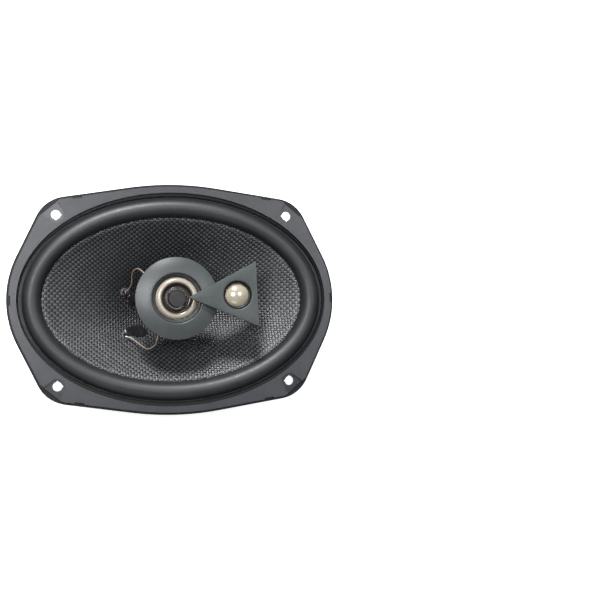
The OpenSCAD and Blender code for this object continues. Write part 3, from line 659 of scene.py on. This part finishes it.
# ---------------------------------------------------------------- midrange and pod
def make_mid():
    disc_r = 29.25
    recess_r = 17.6
    cup_r = 14.5
    bore_r = 12.4
    base = 1.8
    seat = 12.5
    rim_z = 14.1
    crest_z = 16.6
    face = []
    for k in range(13):
        t = k / 12
        r = disc_r * (1 - t) + (recess_r + 0.9) * t
        face.append((r, rim_z * (1 - t) + crest_z * t + 0.25 * math.sin(math.pi * t)))
    outline = rounded([(2, base), (cup_r, base), (cup_r, 9.5), (recess_r + 1, seat - 1.4), (disc_r - 1, 12.6),
                       (disc_r, 13.1)], 0.8)
    outline += face
    outline += [(recess_r + 0.5, 16.55), (recess_r + 0.15, 16.3), (recess_r, 15.9), (recess_r, seat),
                (bore_r, seat), (bore_r, base + 1.4), (2, base + 1.4)]
    at = (0, 0, BRIDGE)
    on_body(lathe("midrange_housing", outline, at, 256, 40), "disc", "frame", "mid_housing")
    ring = rounded([(14.9, 13.1), (17.5, 13.1), (17.5, 14.5), (15.5, 14.1)], 0.25)
    on_body(lathe("midrange_clamp_ring", ring, at, 192), "bridge", "frame", "mid_clamp_ring")
    plug = rounded([(6.2, 10), (6.55, 11.4), (6.45, 15.8), (5.95, 16.3), (5.5, 16.12)], 0.3)
    plug = [(0, 10)] + plug + [(0, 16.05)]
    on_body(lathe("midrange_phase_plug", plug, at, 128), "plug", "frame", "mid_phase_plug")
    top, under = [], []
    for k in range(25):
        s = math.pi * k / 24
        top.append((12.45 - 2.2 * math.cos(s), 13.1 + 0.6 * (1 - k / 24) + 1.9 * math.sin(s)))
        under.append((12.45 - 1.95 * math.cos(s), 12.85 + 0.6 * (1 - k / 24) + 1.85 * math.sin(s)))
    outline = top + [(17.2, 13.1), (17.2, seat), (14.4, seat)] + under[:0:-1]
    obj = lathe("midrange_suspension", outline, at, 192, 50)

    def weights(place):
        return (14.6 - np.hypot(place[:, 0], place[:, 1])) / 4.2

    bending(obj, "cream", "mid_diaphragm", weights, "mid_suspension")
    valley = rounded([(10.25, 13.7), (9.9, 13.25), (9.4, 12.95), (8.75, 12.75), (8.55, 12.5), (8.75, 12.25),
                      (9.7, 12.25), (10.25, 13.1)], 0.15)
    cone = on_body(lathe("midrange_cone", valley, at, 192, 60), "cream", "mid_diaphragm", "mid_cone")
    bead = rounded([(8.6, 12.2), (8.65, 12.7), (8.2, 13.2), (7.85, 13.5), (7.5, 13.45), (7.45, 13.1),
                    (7.9, 12.5)], 0.2)
    on_body(lathe("midrange_bead", bead, at, 192, 60), "cream", "mid_diaphragm")


def arc(centre, radius, start, end, steps):
    """Points along an arc between two angles in degrees."""
    points = []
    for i in range(steps + 1):
        a = math.radians(start + (end - start) * i / steps)
        points.append((centre[0] + radius * math.cos(a), centre[1] + radius * math.sin(a)))
    return points


def bevelled_plate(name, outer, hole, z, edge):
    """Flat plate with a hole and rounded edges; outer and hole have the same number of points."""
    hole_flare = 0.08
    hole_drop = 0.8
    centre = np.mean(np.array(hole), axis=0)

    def inset(line, amount):
        line = np.array(line)
        before, after = np.roll(line, 1, 0), np.roll(line, -1, 0)
        t = after - before
        t /= np.linalg.norm(t, axis=1)[:, None]
        return line + amount * np.stack([-t[:, 1], t[:, 0]], 1)
    layers = [(np.array(outer), z[0])]
    for s in np.linspace(0, 1, 5):
        a = s * math.pi / 2
        layers.append((inset(outer, edge * (1 - math.cos(a))), z[1] - edge + edge * math.sin(a)))
    hole = np.array(hole)
    for s in np.linspace(0, 1, 5):
        a = s * math.pi / 2
        flared = centre + (hole - centre) * (1 + hole_flare * (1 - math.sin(a)))
        layers.append((flared, z[1] - hole_drop * (1 - math.cos(a))))
    layers.append((hole, z[0]))
    points = [(x, y, h) for line, h in layers for x, y in line]
    return add_mesh(name, points, ring_faces(len(layers), len(outer)), 35)


def turned_about_axis(obj, angle):
    obj.data.transform(Matrix.Rotation(angle, 4, "Z"))
    return obj


def make_pod():
    tip = 7.6
    end = 57.0
    half = 23.2
    corner_r = 0.22
    hole_r = 10.1
    corner = math.degrees(math.atan2(end - tip, half))
    tip_half = math.degrees(math.atan2(half, end - tip))
    hole_turn = 360
    tip_c = (tip + corner_r / math.sin(math.radians(tip_half)), 0)
    low_c = (end - corner_r, -(half - corner_r / math.tan(math.radians(corner / 2))))
    top_c = (end - corner_r, -low_c[1])
    raw = arc(tip_c, corner_r, 90 + tip_half, 270 - tip_half, 10)
    raw += arc(low_c, corner_r, 270 - tip_half, 360, 10)
    raw += arc(top_c, corner_r, 0, 90 + tip_half, 10)
    ring = []
    for i in range(hole_turn):
        a = 2 * math.pi * i / hole_turn
        ring.append((DOME_X + hole_r * math.cos(a), hole_r * math.sin(a)))
    outline = resample_about(raw, (DOME_X, 0), hole_turn)
    z = (17.2 + BRIDGE, 20.2 + BRIDGE)
    plate = bevelled_plate("pod_front_plate", outline, ring, z, 0.2)
    on_body(turned_about_axis(plate, POD_TURN), "pod", "frame", "pod_plate")

    at = (*DOME_C, BRIDGE)
    dome_r = 8.3
    dome_rise = 3.3
    dome_top = 19.8
    ball = (dome_r ** 2 + dome_rise ** 2) / (2 * dome_rise)
    half_angle = math.asin(dome_r / ball)
    outer = []
    for k in range(33):
        a = half_angle * k / 32
        outer.append((ball * math.sin(a), dome_top - ball * (1 - math.cos(a))))
    inner = [(max(r - 0.3, 0), z - 0.3) for r, z in reversed(outer)]
    dome = lathe("tweeter_dome", outer + [(dome_r, 16.1), (8.0, 16.1)] + inner, at, 128, 50)
    on_body(dome, "dome", "dome_diaphragm", "dome")
    edge = rounded([(dome_r, 16.1), (8.7, 16.7), (9.2, 16.9), (9.7, 16.4), (11.5, 16.4), (11.5, 16),
                    (9.5, 16), (9.1, 16.5), (8.8, 16.3)], 0.15)
    obj = lathe("tweeter_suspension", edge, at, 128, 50)

    def weights(p):
        return (9.8 - np.hypot(p[:, 0] - DOME_C[0], p[:, 1] - DOME_C[1])) / 1.5
    bending(obj, "bridge", "dome_diaphragm", weights, "dome_suspension")
    clamp = rounded([(9.9, 16.4), (11.55, 16.4), (11.55, 17.2), (10.3, 17.2)], 0.15)
    on_body(lathe("tweeter_clamp_ring", clamp, at, 128), "bridge", "frame", "dome_clamp_ring")


def resample_about(line, centre, count):
    """Points of a closed outline at equal turns about centre."""
    line = np.array(line) - centre
    out = []
    for i in range(count):
        a = 2 * math.pi * i / count
        d = np.array([math.cos(a), math.sin(a)])
        best = None
        for p, q in zip(line, np.roll(line, -1, 0)):
            e = q - p
            det = d[0] * -e[1] + e[0] * d[1]
            if abs(det) < 1e-12:
                continue
            t = (p[0] * -e[1] + e[0] * p[1]) / det
            s = (d[0] * p[1] - d[1] * p[0]) / det
            if t > 0 and -1e-9 <= s <= 1 + 1e-9 and (best is None or t > best):
                best = t
        out.append(tuple(d * best + centre))
    return out


# ---------------------------------------------------------------- CAD pieces that stay
CAD_LOOKS = {
    "basket": ("paint", 0.25), "trim_ring": ("trim", 0.16), "coil_former": ("former", 0.0),
    "voice_coil": ("copper", 0.15), "lead_eyelets": ("glue", 0.1), "front_plate": ("plate", 0.4),
    "magnet": ("ferrite", 0.4), "pole_yoke": ("plate", 0.4),
    "basket_rivets": ("rivet", 0.2), "post": ("bridge", 0.4), "post_washer": ("zinc", 0.1),
    "post_screw": ("zinc", 0.12),
    "mid_yoke_cup": ("nickel", 0.2), "mid_magnet": ("nickel", 0.2), "mid_pole_plate": ("nickel", 0.15),
    "mid_coil": ("copper", 0.05), "pod_housing": ("bridge", 0.25), "pod_screws": ("screw", 0.08),
    "dome_yoke_cup": ("nickel", 0.2), "dome_magnet": ("nickel", 0.2), "dome_pole_plate": ("nickel", 0.15),
    "dome_coil": ("copper", 0.05), "terminal_board": ("board", 0.2), "terminal_positive": ("brass", 0.12),
    "terminal_negative": ("brass", 0.12), "terminal_rivets": ("zinc", 0.15), "capacitor_mid": ("sleeve", 0.3),
    "capacitor_dome": ("sleeve", 0.3), "capacitor_leads": ("zinc", 0.0),
}


def dress_cad():
    for node, (key, edge) in CAD_LOOKS.items():
        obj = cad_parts[node]
        for slot in obj.material_slots:
            slot.link = "OBJECT"
            slot.material = M[key]
        weld = obj.modifiers.new("weld", "WELD")
        weld.merge_threshold = 1e-6
        if edge:
            bevel = obj.modifiers.new("bevel", "BEVEL")
            bevel.width = edge * MM
            bevel.segments = 2
            bevel.limit_method = "ANGLE"
            bevel.angle_limit = math.radians(40)
            bevel.harden_normals = False
        split = obj.modifiers.new("split", "EDGE_SPLIT")
        split.split_angle = math.radians(34)
        obj.modifiers.new("weighted", "WEIGHTED_NORMAL").keep_sharp = True
        obj.data.polygons.foreach_set("use_smooth", [True] * len(obj.data.polygons))


# ---------------------------------------------------------------- floor and light
def make_stage():
    n = Nodes("floor_paper")
    _, _, _, p = n.object_xyz()
    colour = n.ramp(n.noise(p, 0.004, 2), [(0.3, (0.9, 0.9, 0.9)), (0.7, (0.93, 0.93, 0.93))])
    material = n.finish(colour, 0.9, Emission_Color=(1, 1, 1, 1), Emission_Strength=0.8)
    half = FLOOR_HALF * MM
    z = (FLOOR_Z - 0.05) * MM
    corners = [(x * half, y * half, z) for x, y in ((-1, -1), (1, -1), (1, 1), (-1, 1))]
    mesh = bpy.data.meshes.new("floor")
    mesh.from_pydata(corners, [], [(0, 1, 2, 3)])
    floor = bpy.data.objects.new("floor", mesh)
    bpy.context.scene.collection.objects.link(floor)
    mesh.materials.append(material)


def add_light(name, place, size, power):
    """A soft rectangular light aimed at the origin; place and size in metres, power in watts."""
    data = bpy.data.lights.new(name, "AREA")
    data.shape = "RECTANGLE"
    data.size, data.size_y = size
    data.energy = power
    light = bpy.data.objects.new(name, data)
    bpy.context.scene.collection.objects.link(light)
    light.location = place
    light.rotation_euler = (-Vector(place)).to_track_quat("-Z", "Y").to_euler()


def make_light():
    world = bpy.data.worlds.new("studio")
    bpy.context.scene.world = world
    world.use_nodes = True
    background = world.node_tree.nodes["Background"]
    background.inputs["Color"].default_value = (0.93, 0.96, 1.0, 1)
    background.inputs["Strength"].default_value = 0.09
    add_light("key", (-0.24, 1.19, 1.0), (0.34, 0.3), 37)
    add_light("left", (-0.43, 0.17, 1.15), (0.35, 0.4), 9)
    add_light("below", (-0.3, -1.2, 0.9), (0.9, 0.7), 2.5)
    add_light("right", (0.52, 0.2, 1.1), (0.4, 0.4), 3.3)
    bpy.context.scene.view_settings.view_transform = "Standard"


make_surround()
make_cone()
make_spider()
make_leads()
make_glue_pads()
make_mid()
make_pod()
dress_cad()
make_stage()
make_light()
